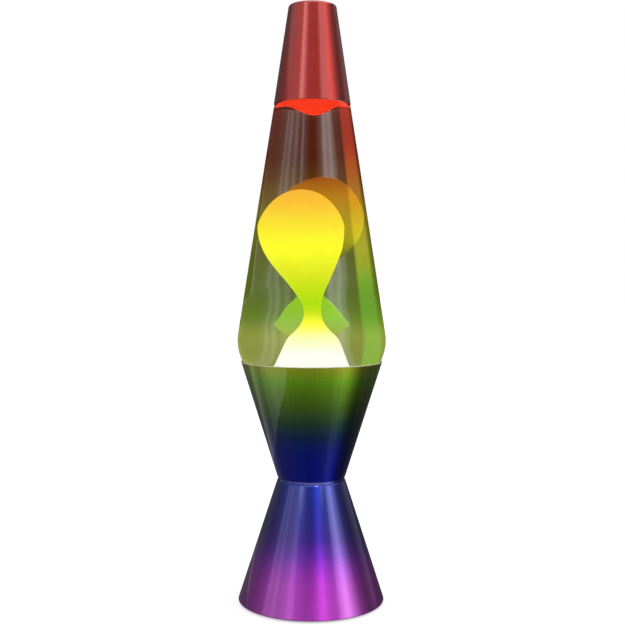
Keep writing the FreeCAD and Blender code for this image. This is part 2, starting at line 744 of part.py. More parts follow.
def base_plate_tabs():
    """Three angle tabs welded inside the lower cone; the plate screws bite into them."""
    _, foot = plate_levels()
    cavity = lower_cavity()
    hollow = turned([
        (0, 0),
        (lower_inner(0) - TAB_T, 0),
        (lower_inner(LOWER_TOP_Z - SHEET) - TAB_T, LOWER_TOP_Z - SHEET),
        (0, LOWER_TOP_Z - SHEET),
    ])
    leg = block(TAB_INNER_R, LOWER_RIM_R, -TAB_W / 2, TAB_W / 2, foot, foot + TAB_HEIGHT)
    leg = leg.common(cavity).cut(hollow)
    shelf = block(TAB_INNER_R, LOWER_RIM_R, -TAB_W / 2, TAB_W / 2, foot, foot + TAB_T)
    shelf = shelf.common(cavity)
    tab = leg.fuse(shelf).cut(disc(SCREW_R, foot, foot + TAB_T, SCREW_AT_R)).removeSplitter()
    return Part.makeCompound(around(tab, FASTENER_COUNT, 30))


def base_plate_screws():
    seat, _ = plate_levels()
    head = turned([
        (0, seat - SCREW_HEAD_T),
        (SCREW_HEAD_R, seat - SCREW_HEAD_T, SCREW_HEAD_T / 2),
        (SCREW_HEAD_R, seat),
        (0, seat),
    ])
    arm = block(-SCREW_R, SCREW_R, -GAP, GAP, seat - SCREW_HEAD_T, seat - SCREW_HEAD_T / 2)
    recess = arm.fuse(arm.rotated(vec(0, 0, 0), vec(0, 0, 1), 90))
    screw = head.cut(recess).fuse(disc(SCREW_R, seat, seat + SCREW_LENGTH))
    screw.translate(vec(SCREW_AT_R, 0, 0))
    return Part.makeCompound(around(screw, FASTENER_COUNT, 30))


def rubber_feet():
    seat, _ = plate_levels()
    foot = turned([
        (0, 0),
        (FOOT_R, 0, SHEET),
        (FOOT_R, seat),
        (0, seat),
    ])
    foot.translate(vec(FOOT_AT_R, 0, 0))
    return Part.makeCompound(around(foot, FASTENER_COUNT, 90))


def rating_label():
    seat, _ = plate_levels()
    return disc(LABEL_R, seat - LABEL_T, seat)


def cord_bushing():
    """Flanged snap-in bushing, square to the rear wall, with a barb behind the sheet."""
    behind = -SHEET
    sleeve = turned([
        (BUSHING_BORE_R, BUSHING_FLANGE_T),
        (BUSHING_FLANGE_R, BUSHING_FLANGE_T, SHEET),
        (BUSHING_FLANGE_R, -SHEET * 2),
        (BUSHING_R, -SHEET * 2),
        (BUSHING_R, behind - SHEET * 3),
        (BUSHING_BARB_R, behind - SHEET * 3),
        (BUSHING_R, -BUSHING_TAIL),
        (BUSHING_BORE_R, -BUSHING_TAIL),
    ])
    flange = turned([
        (BUSHING_R, -SHEET * 2),
        (BUSHING_FLANGE_R + GAP, -SHEET * 2),
        (BUSHING_FLANGE_R + GAP, GAP),
        (BUSHING_R, GAP),
    ])
    sleeve = bushing_frame(sleeve)
    wall_zone = turned([
        (0, LOWER_RIM_Z),
        (LOWER_RIM_R, LOWER_RIM_Z),
        (LOWER_TOP_R, LOWER_TOP_Z),
        (0, LOWER_TOP_Z),
    ])
    return sleeve.cut(bushing_frame(flange).common(wall_zone))


# ---- export -------------------------------------------------------------------------------
def main():
    os.makedirs("parts", exist_ok=True)
    column = wax_column()
    lens = wax_lens()
    nodes = {
        "top_cap": top_cap(),
        "globe_glass": globe_glass(),
        "globe_liquid": globe_liquid(column, lens),
        "wax_column": column,
        "wax_lens": lens,
        "coil_spring": coil_spring(),
        "crown_cap": crown_cap(),
        "crown_liner": crown_liner(),
        "base_upper_cone": base_upper_cone(),
        "waist_ring": waist_ring(),
        "base_lower_cone": base_lower_cone(),
        "lampholder_housing": lampholder_housing(),
        "lampholder_ring_nut": lampholder_ring_nut(),
        "socket_thread_shell": socket_thread_shell(),
        "socket_tongue": socket_tongue(),
        "terminal_plates": terminal_plates(),
        "terminal_screws": terminal_screws(),
        "lampholder_rivets": lampholder_rivets(),
        "bulb_envelope": bulb_envelope(),
        "bulb_stem": bulb_stem(),
        "bulb_screw_shell": bulb_screw_shell(),
        "bulb_cement": bulb_cement(),
        "bulb_insulator": bulb_insulator(),
        "bulb_tip_contact": bulb_tip_contact(),
        "bulb_filament": bulb_filament(),
        "bulb_lead_wires": bulb_lead_wires(),
        "base_plate": base_plate(),
        "base_plate_tabs": base_plate_tabs(),
        "base_plate_screws": base_plate_screws(),
        "rubber_feet": rubber_feet(),
        "rating_label": rating_label(),
        "cord_bushing": cord_bushing(),
    }
    for name, shape in nodes.items():
        shape.exportStep("parts/" + name + ".step")


main()
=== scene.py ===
"""Looks of the lava lamp: lacquered spun-metal cap and base, tinted glass globe, glowing wax.

Lengths of the lamp are millimetres in the part's frame, turned to metres by MM. Those of the
studio round it are metres.
"""
import math

import bpy
import bmesh
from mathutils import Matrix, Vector


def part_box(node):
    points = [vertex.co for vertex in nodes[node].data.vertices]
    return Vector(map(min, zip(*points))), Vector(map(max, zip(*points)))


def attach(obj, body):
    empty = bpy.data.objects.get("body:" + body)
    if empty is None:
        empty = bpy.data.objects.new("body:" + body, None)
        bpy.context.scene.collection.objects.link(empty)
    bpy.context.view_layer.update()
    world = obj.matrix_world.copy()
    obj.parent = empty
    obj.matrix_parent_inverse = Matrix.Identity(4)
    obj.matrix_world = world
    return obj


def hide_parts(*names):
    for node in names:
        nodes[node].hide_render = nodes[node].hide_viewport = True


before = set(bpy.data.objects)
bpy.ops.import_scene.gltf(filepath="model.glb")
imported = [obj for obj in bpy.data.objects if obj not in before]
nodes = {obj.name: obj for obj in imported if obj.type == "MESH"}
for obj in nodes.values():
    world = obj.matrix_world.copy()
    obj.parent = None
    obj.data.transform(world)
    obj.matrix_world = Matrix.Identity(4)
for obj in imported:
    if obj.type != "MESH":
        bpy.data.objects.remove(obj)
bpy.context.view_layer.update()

MM = 0.001
TURN_STEPS = 192                # facets round each turned piece
BOW_STEPS = 6                   # facets in each small fillet
GLASS_BOW_STEPS = 14            # facets in each fillet of the globe


# ---- turned shapes ------------------------------------------------------------------------
def fillet(profile, steps=BOW_STEPS):
    """(r, z[, fillet]) corners as a dense outline, with each fillet as a short arc."""
    out = []
    count = len(profile)
    for i, point in enumerate(profile):
        if len(point) < 3:
            out.append(point)
            continue
        before, after = profile[i - 1], profile[(i + 1) % count]
        ax, az = before[0] - point[0], before[1] - point[1]
        bx, bz = after[0] - point[0], after[1] - point[1]
        la, lb = math.hypot(ax, az), math.hypot(bx, bz)
        ax, az, bx, bz = ax / la, az / la, bx / lb, bz / lb
        angle = math.acos(max(-1.0, min(1.0, ax * bx + az * bz)))
        run = point[2] / math.tan(angle / 2)            # corner to where the arc starts
        reach = point[2] / math.sin(angle / 2)          # corner to the arc's centre
        mx, mz = ax + bx, az + bz
        lm = math.hypot(mx, mz)
        cx, cz = point[0] + mx / lm * reach, point[1] + mz / lm * reach
        sx, sz = point[0] + ax * run - cx, point[1] + az * run - cz
        ex, ez = point[0] + bx * run - cx, point[1] + bz * run - cz
        sweep = math.atan2(sx * ez - sz * ex, sx * ex + sz * ez)
        for k in range(steps + 1):
            turn = sweep * k / steps
            out.append((cx + sx * math.cos(turn) - sz * math.sin(turn),
                        cz + sx * math.sin(turn) + sz * math.cos(turn)))
    return out


def with_holding(points, closed, edge=0.25, pitch=6.0):
    """Extra points near both ends of long runs, so that smooth shading stays on the corners."""
    out = []
    count = len(points)
    last = count if closed else count - 1
    for i in range(last):
        a, b = points[i], points[(i + 1) % count]
        length = math.dist(a, b)
        out.append(a)
        if length > 4 * edge:
            cuts = max(1, int(length / pitch))
            near = [edge / length]
            if length > 12 * edge:
                near.append(3 * edge / length)
            inner = [k / cuts for k in range(1, cuts) if near[-1] < k / cuts < 1 - near[-1]]
            shares = near + inner + [1 - share for share in reversed(near)]
            out += [(a[0] + (b[0] - a[0]) * s, a[1] + (b[1] - a[1]) * s) for s in shares]
    if not closed:
        out.append(points[-1])
    return out


def lathe(name, profile, inner_from=None, closed=True, centre=None):
    """Mesh of a profile in millimetres turned about Z; inner_from gives later faces slot 1.

    centre is a function of z in millimetres giving the (x, y) shift of each ring.
    """
    mesh = bpy.data.meshes.new(name)
    bm = bmesh.new()
    rings = []
    for r, z in profile:
        dx, dy = centre(z) if centre else (0.0, 0.0)
        if r < 1e-6:
            rings.append([bm.verts.new((dx * MM, dy * MM, z * MM))])
            continue
        ring = []
        for k in range(TURN_STEPS):
            turn = 2 * math.pi * k / TURN_STEPS
            x, y = r * math.cos(turn) + dx, r * math.sin(turn) + dy
            ring.append(bm.verts.new((x * MM, y * MM, z * MM)))
        rings.append(ring)
    last = len(rings) if closed else len(rings) - 1
    for i in range(last):
        a, b = rings[i], rings[(i + 1) % len(rings)]
        if len(a) == 1 and len(b) == 1:
            continue
        for k in range(TURN_STEPS):
            n = (k + 1) % TURN_STEPS
            corners = [a[k % len(a)], a[n % len(a)], b[n % len(b)], b[k % len(b)]]
            corners = list(dict.fromkeys(corners))
            face = bm.faces.new(corners)
            face.smooth = True
            if inner_from is not None and i >= inner_from:
                face.material_index = 1
    bmesh.ops.recalc_face_normals(bm, faces=bm.faces)
    bm.to_mesh(mesh)
    bm.free()
    obj = bpy.data.objects.new(name, mesh)
    bpy.context.scene.collection.objects.link(obj)
    return obj


# ---- node helpers -------------------------------------------------------------------------
class Graph:
    """Short names for building a node tree."""

    def __init__(self, tree):
        self.tree = tree
        tree.nodes.clear()

    def node(self, kind, inputs=None, **settings):
        n = self.tree.nodes.new(kind)
        for key, value in settings.items():
            setattr(n, key, value)
        for key, value in (inputs or {}).items():
            self.put(n.inputs[key], value)
        return n

    def put(self, socket, value):
        if isinstance(value, bpy.types.NodeSocket):
            self.tree.links.new(value, socket)
        elif isinstance(value, (tuple, list)) and len(value) == 3 and socket.type == "RGBA":
            socket.default_value = (*value, 1.0)
        else:
            socket.default_value = value

    def math(self, operation, a, b=0.0):
        return self.node("ShaderNodeMath", {0: a, 1: b}, operation=operation).outputs[0]

    def times(self, a, b):
        return self.math("MULTIPLY", a, b)

    def radius(self, x, y):
        """Distance from the lamp's axis."""
        return self.math("SQRT", self.math("ADD", self.times(x, x), self.times(y, y)))

    def span(self, value, low, high, to_low=0.0, to_high=1.0):
        n = self.node("ShaderNodeMapRange", {0: value, 1: low, 2: high, 3: to_low, 4: to_high})
        return n.outputs[0]

    def ramp(self, value, stops):
        """Colour ramp from (position, colour or grey level) stops."""
        n = self.node("ShaderNodeValToRGB", {0: value})
        n.color_ramp.interpolation = "LINEAR"
        band = n.color_ramp.elements
        while len(band) > 1:
            band.remove(band[0])
        for i, (at, colour) in enumerate(stops):
            stop = band[0] if i == 0 else band.new(at)
            stop.position = at
            rgb = colour if isinstance(colour, tuple) else (colour,) * 3
            stop.color = (*rgb, 1.0)
        return n.outputs[0]

    def height_ramp(self, z, table):
        """Colour by height in metres, from a table of (millimetres, colour)."""
        low, high = table[0][0], table[-1][0]
        share = self.span(z, low * MM, high * MM)
        return self.ramp(share, [((at - low) / (high - low), colour) for at, colour in table])

    def mix(self, share, a, b, blend="MIX"):
        n = self.node("ShaderNodeMix", {0: share, 6: a, 7: b}, data_type="RGBA", blend_type=blend)
        return n.outputs[2]

    def noise(self, vector=None, w=None, scale=1.0, detail=2.0, roughness=0.5):
        """Noise over a position, or over the single value w."""
        inputs = {"Scale": scale, "Detail": detail, "Roughness": roughness}
        if w is None:
            n = self.node("ShaderNodeTexNoise", {"Vector": vector, **inputs})
        else:
            n = self.node("ShaderNodeTexNoise", {"W": w, **inputs}, noise_dimensions="1D")
        return n.outputs[0]

    def position(self):
        return self.node("ShaderNodeTexCoord").outputs["Object"]

    def split(self, vector):
        parts = self.node("ShaderNodeSeparateXYZ", {0: vector}).outputs
        return parts[0], parts[1], parts[2]

    def join(self, x, y, z):
        return self.node("ShaderNodeCombineXYZ", {0: x, 1: y, 2: z}).outputs[0]

    def scaled(self, vector, factor):
        n = self.node("ShaderNodeVectorMath", {0: vector, "Scale": factor}, operation="SCALE")
        return n.outputs[0]

    def bump(self, height, strength, distance):
        inputs = {"Height": height, "Strength": strength, "Distance": distance}
        return self.node("ShaderNodeBump", inputs).outputs[0]


def new_material(name):
    mat = bpy.data.materials.new(name)
    mat.use_nodes = True
    graph = Graph(mat.node_tree)
    out = graph.node("ShaderNodeOutputMaterial")
    return mat, graph, out.inputs["Surface"]


# ---- metal and mouldings ------------------------------------------------------------------
RINGS_PER_M = 2600.0            # turning marks along the height
DASH_ROWS_PER_M = 2200.0        # rows of short brush marks along the height
DASHES_PER_RADIAN = 9.0
STREAK_FINENESS = 26.0             # noise radius of the upright painted reflection streaks in the lacquer
TURNED_RINGS_PER_M = 3000.0
WEAR = 0.12                     # share of dirt in scratches; tarnish is 2.2 times as strong
SPECK = 0.08                    # share of specks in mouldings


def spun_lacquer(name, table):
    """Clear-coated translucent lacquer over circumferentially brushed aluminium.

    The grain is fine rings and short dashes round the axis, then flecks and soft clouds; upright
    streaks that follow the height are painted reflections.
    """
    mat, g, surface = new_material(name)
    vector = g.position()
    x, y, z = g.split(vector)
    around = g.math("ARCTAN2", y, x)
    fine = g.noise(w=g.times(z, RINGS_PER_M), detail=3.0, roughness=0.7)
    cells = g.join(g.times(around, DASHES_PER_RADIAN), g.times(z, DASH_ROWS_PER_M), 0.0)
    dashes = g.noise(vector=cells, detail=2.0, roughness=0.6)
    flecks = g.noise(vector=vector, scale=2600.0, detail=1.0)
    cloud = g.noise(vector=vector, scale=38.0, detail=2.0)
    wrap = g.join(g.times(g.math("COSINE", around), STREAK_FINENESS),
                  g.times(g.math("SINE", around), STREAK_FINENESS), g.times(z, 5.0))
    reflection_streaks = g.noise(vector=wrap, detail=4.0, roughness=0.65)
    grain = g.math("ADD", g.times(fine, 0.4), g.times(dashes, 0.6))
    shade = g.span(grain, 0.3, 0.7, 0.90, 1.10)
    shade = g.times(shade, g.span(flecks, 0.35, 0.65, 0.95, 1.05))
    shade = g.times(shade, g.span(cloud, 0.3, 0.7, 0.96, 1.04))
    # painted reflection: upright streaks darken and lighten the lacquer's colour
    shade = g.times(shade, g.span(reflection_streaks, 0.3, 0.7, 0.91, 1.09))
    rough = g.span(grain, 0.25, 0.75, 0.30, 0.38)
    normal = g.bump(grain, 0.25, 0.00002)
    peel = g.bump(g.noise(vector=vector, scale=420.0, detail=1.0), 0.06, 0.0001)
    tangent = g.node("ShaderNodeTangent", direction_type="RADIAL", axis="Z").outputs[0]
    shader = g.node("ShaderNodeBsdfPrincipled", {
        "Base Color": g.scaled(g.height_ramp(z, table), shade), "Metallic": 1.0, "Roughness": rough,
        "Anisotropic": 0.92, "Anisotropic Rotation": 0.25, "Tangent": tangent,
        "Normal": normal, "Coat Weight": 1.0, "Coat Roughness": 0.045, "Coat IOR": 2.0,
        "Coat Normal": peel,
    })
    g.put(surface, shader.outputs[0])
    return mat


def metal(name, colour, roughness, blotch=60.0, turned=False, metallic=1.0):
    """Bare or plated metal with tarnish and fine scratches, in rings where it is turned."""
    mat, g, surface = new_material(name)
    vector = g.position()
    cloud = g.noise(vector=vector, scale=blotch, detail=4.0, roughness=0.6)
    if turned:
        x, y, z = g.split(vector)
        along = g.math("ADD", g.radius(x, y), z)
        fine = g.noise(w=g.times(along, TURNED_RINGS_PER_M), detail=3.0)
    else:
        fine = g.noise(vector=vector, scale=blotch * 25, detail=2.0)
    dark = tuple(c * (1 - WEAR * 2.2) for c in colour)
    base = g.mix(g.span(cloud, 0.35, 0.7), colour, dark)
    base = g.mix(g.span(fine, 0.3, 0.7, 0.0, WEAR), base, (0.04, 0.035, 0.03))
    tarnish = g.math("ADD", cloud, g.times(fine, 0.5))
    shader = g.node("ShaderNodeBsdfPrincipled", {
        "Base Color": base, "Metallic": metallic,
        "Roughness": g.span(tarnish, 0.5, 1.0, roughness * 0.75, roughness * 1.3),
        "Normal": g.bump(fine, 0.2, 0.00005),
    })
    g.put(surface, shader.outputs[0])
    return mat


def moulded(name, colour, roughness, depth=0.00004):
    """Moulded plastic, rubber, cement or paper: fine grain, faint mottling."""
    mat, g, surface = new_material(name)
    vector = g.position()
    cloud = g.noise(vector=vector, scale=90.0, detail=3.0)
    fine = g.noise(vector=vector, scale=700.0, detail=3.0, roughness=0.65)
    light = tuple(min(1.0, c * (1 + SPECK * 2) + SPECK * 0.05) for c in colour)
    base = g.mix(g.span(cloud, 0.35, 0.65), colour, light)
    base = g.mix(g.span(fine, 0.55, 0.75, 0.0, SPECK), base, tuple(c * 0.35 for c in colour))
    shader = g.node("ShaderNodeBsdfPrincipled", {
        "Base Color": base, "Specular IOR Level": 0.5,
        "Roughness": g.span(fine, 0.3, 0.7, roughness * 0.85, min(1.0, roughness * 1.2)),
        "Normal": g.bump(fine, 0.35, depth),
    })
    g.put(surface, shader.outputs[0])
    return mat


# ---- glass, liquid and wax ----------------------------------------------------------------
def clear_glass(name, ior, mirror):
    """Clear glass with faint waviness, and a small mirror share."""
    mat, g, surface = new_material(name)
    tint = (0.97, 0.985, 0.975)
    cords = g.noise(vector=g.position(), scale=30.0, detail=1.0)
    colour = g.mix(g.span(cords, 0.3, 0.7), tint, tuple(min(1.0, c * 1.015) for c in tint))
    wave = g.bump(cords, 0.02, 0.0002)
    bend = g.node("ShaderNodeBsdfRefraction", {
        "Color": colour, "Roughness": 0.0, "IOR": ior, "Normal": wave})
    shine = g.node("ShaderNodeBsdfAnisotropic", {
        "Color": (1.0, 1.0, 1.0), "Roughness": 0.02, "Normal": wave})
    both = g.node("ShaderNodeMixShader", {0: mirror, 1: bend.outputs[0], 2: shine.outputs[0]})
    g.put(surface, both.outputs[0])
    return mat


def globe_body(name, ior, tint, image, near_mirror, far_mirror, glow=None):
    """A clear body of the globe. Its far side carries tint and mirror colour by height, and a
    painted glow by height where glow is given.

    A ray that has already been mirrored meets plain glass, so that images don't repeat.
    """
    mat, g, surface = new_material(name)
    vector = g.position()
    z = g.split(vector)[2]
    far_side = g.node("ShaderNodeNewGeometry").outputs["Backfacing"]
    bounces = g.node("ShaderNodeLightPath").outputs["Glossy Depth"]
    behind = g.times(far_side, g.math("LESS_THAN", bounces, 0.5))
    haze = g.noise(vector=vector, scale=45.0, detail=3.0)
    shade = g.span(haze, 0.3, 0.7, 0.94, 1.06)

    def far(table, near):
        return g.mix(behind, near, g.scaled(g.height_ramp(z, table), shade))

    bend = g.node("ShaderNodeBsdfRefraction", {
        "Color": far(tint, (0.99, 0.995, 0.99)), "Roughness": 0.0, "IOR": ior})
    shine = g.node("ShaderNodeBsdfAnisotropic", {
        "Color": far(image, (1.0, 1.0, 1.0)), "Roughness": 0.0})
    share = g.span(behind, 0.0, 1.0, near_mirror, far_mirror)
    total = g.node("ShaderNodeMixShader", {0: share, 1: bend.outputs[0], 2: shine.outputs[0]})
    # painted glow: emission on the far side that stands in for the wax's light in the liquid
    if glow:
        light = g.node("ShaderNodeEmission", {"Color": far(glow, (0.0, 0.0, 0.0)), "Strength": 1.0})
        total = g.node("ShaderNodeAddShader", {0: total.outputs[0], 1: light.outputs[0]})
        mat.cycles.emission_sampling = "NONE"
    g.put(surface, total.outputs[0])
    return mat


def glowing_wax(name, table, strength=1.0, dim_r=None):
    """Paraffin lit from below, shown as painted glow: emission by height, slightly cloudy.

    dim_r is (radius at full glow, radius at the least glow): the glow is dimmed as painted shade
    toward the rim of the pool, which lies over the shaded edge of the globe's foot.
    """
    mat, g, surface = new_material(name)
    vector = g.position()
    x, y, z = g.split(vector)
    cloud = g.noise(vector=vector, scale=90.0, detail=4.0, roughness=0.6)
    fine = g.noise(vector=vector, scale=900.0, detail=2.0)
    mottled = g.times(g.span(cloud, 0.3, 0.7, 0.97, 1.02), g.span(fine, 0.3, 0.7, 0.985, 1.015))
    glow = g.height_ramp(z, table)
    if dim_r:
        # painted shade: toward the pool's rim the glow fades to a dull yellow-green
        lit = g.span(g.radius(x, y), dim_r[0] * MM, dim_r[1] * MM, 1.0, 0.0)
        glow = g.mix(lit, (0.45, 0.50, 0.06), glow)
    shader = g.node("ShaderNodeBsdfPrincipled", {
        "Base Color": (0.10, 0.10, 0.08), "Roughness": 0.45, "IOR": 1.43,
        "Specular IOR Level": 0.05,
        "Emission Color": glow, "Emission Strength": g.times(mottled, strength),
        "Normal": g.bump(cloud, 0.08, 0.0005),
    })
    g.put(surface, shader.outputs[0])
    mat.cycles.emission_sampling = "NONE"
    return mat


# ---- colour tables, bottom to top ---------------------------------------------------------
# lacquer of the base by height; the pale yellow from 144.5 mm up to the rim is partly painted
# light, the globe's glow caught on the rim
BASE_PAINT_AND_RIM_GLOW = [
    (0.0, (0.88, 0.085, 1.0)), (9.0, (0.86, 0.075, 1.0)), (19.0, (0.82, 0.068, 1.0)),
    (27.0, (0.61, 0.052, 0.98)), (36.0, (0.26, 0.033, 0.78)), (45.0, (0.085, 0.026, 0.54)),
    (54.0, (0.04, 0.034, 0.52)), (63.0, (0.028, 0.038, 0.55)), (76.0, (0.018, 0.055, 0.65)),
    (79.0, (0.006, 0.018, 0.72)), (88.0, (0.005, 0.020, 0.66)), (97.0, (0.006, 0.030, 0.56)),
    (106.0, (0.014, 0.060, 0.26)), (115.5, (0.06, 0.18, 0.09)), (125.0, (0.18, 0.38, 0.035)),
    (134.5, (0.30, 0.66, 0.025)), (141.0, (0.40, 0.92, 0.025)), (144.5, (0.60, 1.0, 0.035)),
    (150.0, (0.90, 1.0, 0.05)),
]
CAP_PAINT = [
    (308.0, (0.96, 0.062, 0.050)), (340.0, (0.98, 0.066, 0.052)), (368.3, (0.98, 0.070, 0.056)),
]
# what the rear wall of the glass lets through
GLASS_TINT = [
    (131.0, (0.03, 0.30, 0.03)), (153.0, (0.03, 0.30, 0.03)), (160.0, (0.03, 0.24, 0.02)),
    (168.6, (0.03, 0.24, 0.01)), (178.0, (0.05, 0.26, 0.02)), (188.0, (0.07, 0.28, 0.01)),
    (196.0, (0.14, 0.36, 0.01)), (206.0, (0.31, 0.39, 0.01)), (215.0, (0.41, 0.39, 0.012)),
    (225.0, (0.38, 0.32, 0.015)), (237.0, (0.38, 0.22, 0.01)), (249.0, (0.38, 0.15, 0.01)),
    (262.0, (0.40, 0.11, 0.01)), (275.0, (0.46, 0.055, 0.01)), (285.0, (0.41, 0.03, 0.012)),
    (296.0, (0.38, 0.022, 0.014)), (330.0, (0.36, 0.02, 0.014)),
]
# what the rear wall of the glass mirrors: the pool and the head of the wax
IMAGE_TINT = [
    (131.0, (0.10, 0.12, 0.01)), (158.0, (0.12, 0.16, 0.01)), (164.0, (0.20, 0.44, 0.005)),
    (172.0, (0.32, 0.80, 0.003)), (184.0, (0.33, 0.86, 0.002)), (189.0, (0.2, 0.5, 0.002)),
    (194.0, (0.12, 0.16, 0.01)), (214.0, (0.14, 0.14, 0.01)), (221.0, (0.44, 0.30, 0.02)),
    (228.0, (0.58, 0.37, 0.02)), (240.0, (0.66, 0.42, 0.02)), (250.0, (0.68, 0.42, 0.02)),
    (262.0, (0.42, 0.11, 0.01)), (272.0, (0.40, 0.08, 0.01)), (296.0, (0.3, 0.05, 0.02)),
    (330.0, (0.3, 0.05, 0.02)),
]
CLEAR = [(128.0, (0.995, 1.0, 0.995)), (330.0, (0.995, 1.0, 0.995))]
# painted glow: emission on the far side of the liquid that stands in for the wax's light scattered
# in the liquid and the coat
GLOW = [
    (131.0, (0.20, 0.22, 0.030)), (155.0, (0.20, 0.23, 0.035)), (160.0, (0.26, 0.29, 0.040)),
    (166.0, (0.19, 0.24, 0.025)), (172.0, (0.12, 0.19, 0.010)), (178.0, (0.10, 0.15, 0.008)),
    (188.0, (0.09, 0.12, 0.010)), (200.0, (0.09, 0.115, 0.012)), (212.0, (0.09, 0.10, 0.010)),
    (222.0, (0.11, 0.12, 0.010)), (240.0, (0.14, 0.12, 0.010)), (250.0, (0.12, 0.07, 0.006)),
    (262.0, (0.09, 0.03, 0.004)), (275.0, (0.07, 0.012, 0.003)), (296.0, (0.08, 0.014, 0.006)),
    (308.0, (0.12, 0.025, 0.015)), (322.0, (0.12, 0.025, 0.015)),
]
# painted glow: the wax is no lamp; this emission by height stands in for the bulb's light shining
# up through it, in the colours of the tinted glass
WAX_GLOW = [
    (131.0, (1.0, 1.0, 1.0)), (157.0, (1.0, 1.0, 0.93)), (161.9, (0.99, 0.99, 0.59)),
    (165.6, (0.99, 0.99, 0.38)), (169.4, (0.99, 0.98, 0.127)), (173.1, (1.0, 0.99, 0.038)),
    (176.8, (0.72, 0.81, 0.018)), (180.5, (0.515, 0.745, 0.005)), (185.5, (0.434, 0.730, 0.003)),
    (195.3, (0.59, 0.768, 0.007)), (202.7, (0.737, 0.80, 0.014)), (210.0, (0.871, 0.896, 0.019)),
    (217.5, (0.99, 0.99, 0.025)), (225.0, (0.99, 0.921, 0.028)), (232.5, (0.965, 0.79, 0.033)),
    (240.0, (0.965, 0.65, 0.037)), (247.0, (0.973, 0.533, 0.036)), (257.0, (0.947, 0.46, 0.037)),
]
# painted glow of the red wax gathered at the top; the filament below is a lamp
LENS_GLOW = [(298.0, (0.985, 0.036, 0.010)), (312.0, (0.95, 0.034, 0.012))]
FILAMENT_GLOW = [(100.0, (1.0, 0.62, 0.3)), (110.0, (1.0, 0.62, 0.3))]


# ---- spun shells --------------------------------------------------------------------------
SHEET = 0.6                     # thickness of the spun sheet
CAP_TOP_R = 14.6
UPPER_FOOT_R = 21.05
LOWER_FOOT_R, LOWER_TOP_R = 45.6, 21.2
HEM = 1.7                       # width and height of the lower cone's rolled hem
CENTRE_HOLE_R = 12.2            # for the lampholder, through both cones and the ring
INLET_Z, INLET_R = 15.0, 4.5    # hole for the cord bushing


def first_point(points, test):
    """Index of the first (r, z) point that passes the test."""
    return next(i for i, (r, z) in enumerate(points) if test(r, z))


def make_cap():
    low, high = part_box("top_cap")
    rim_r, rim_z, top_z = high.x / MM, low.z / MM, high.z / MM
    outline = [
        (0.0, top_z), (CAP_TOP_R, top_z, 1.6), (rim_r, rim_z + 0.35),
        (rim_r, rim_z, 0.2), (rim_r - 0.62, rim_z, 0.25), (rim_r - 0.70, rim_z + 0.6),
        (CAP_TOP_R - 0.55, top_z - SHEET, 1.0), (0.0, top_z - SHEET),
    ]
    dense = with_holding(fillet(outline), closed=False)
    inside = first_point(dense, lambda r, z: r < rim_r - 0.5 and z < rim_z + 1.0)
    cap = lathe("cap_shell", dense, inner_from=inside, closed=False)
    cap.data.materials.append(spun_lacquer("cap_lacquer", CAP_PAINT))
    cap.data.materials.append(metal("bare_spun_aluminium", (0.80, 0.80, 0.82), 0.38, turned=True))
    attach(cap, "cap")
    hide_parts("top_cap")


def make_base():
    paint = spun_lacquer("base_lacquer", BASE_PAINT_AND_RIM_GLOW)
    make_upper_cone(paint)
    make_lower_cone(paint)
    make_waist_ring(paint)


def make_upper_cone(paint):
    low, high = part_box("base_upper_cone")
    foot_z, rim_z, rim_r = low.z / MM, high.z / MM, high.x / MM
    outline = [
        (CENTRE_HOLE_R, foot_z), (UPPER_FOOT_R, foot_z, 0.9), (rim_r - 0.08, rim_z - 0.55),
        (rim_r, rim_z - 0.40, 0.15), (rim_r, rim_z, 0.25), (rim_r - 0.60, rim_z, 0.25),
        (rim_r - 0.72, rim_z - 0.8), (UPPER_FOOT_R - 0.45, foot_z + SHEET, 0.6),
        (CENTRE_HOLE_R, foot_z + SHEET),
    ]
    dense = with_holding(fillet(outline), closed=True)
    inside = first_point(dense, lambda r, z: r < rim_r - 0.45 and z > rim_z - 1.0)
    upper = lathe("upper_cone_shell", dense, inner_from=inside)
    upper.data.materials.append(paint)
    upper.data.materials.append(bpy.data.materials["bare_spun_aluminium"])
    # painted light: the trimmed edge of the rim is coloured pale yellow, standing in for the
    # globe's glow caught on it
    edge = metal("rim_edge_painted_glow", (0.95, 0.97, 0.62), 0.30, turned=True, metallic=0.3)
    upper.data.materials.append(edge)
    for face in upper.data.polygons:
        if face.material_index == 0 and face.center.z > (rim_z - 0.45) * MM:
            face.material_index = 2
    # rays in the globe would meet the cup below the rim and leave a dark band in the glass
    upper.visible_transmission = False
    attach(upper, "base")
    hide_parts("base_upper_cone")


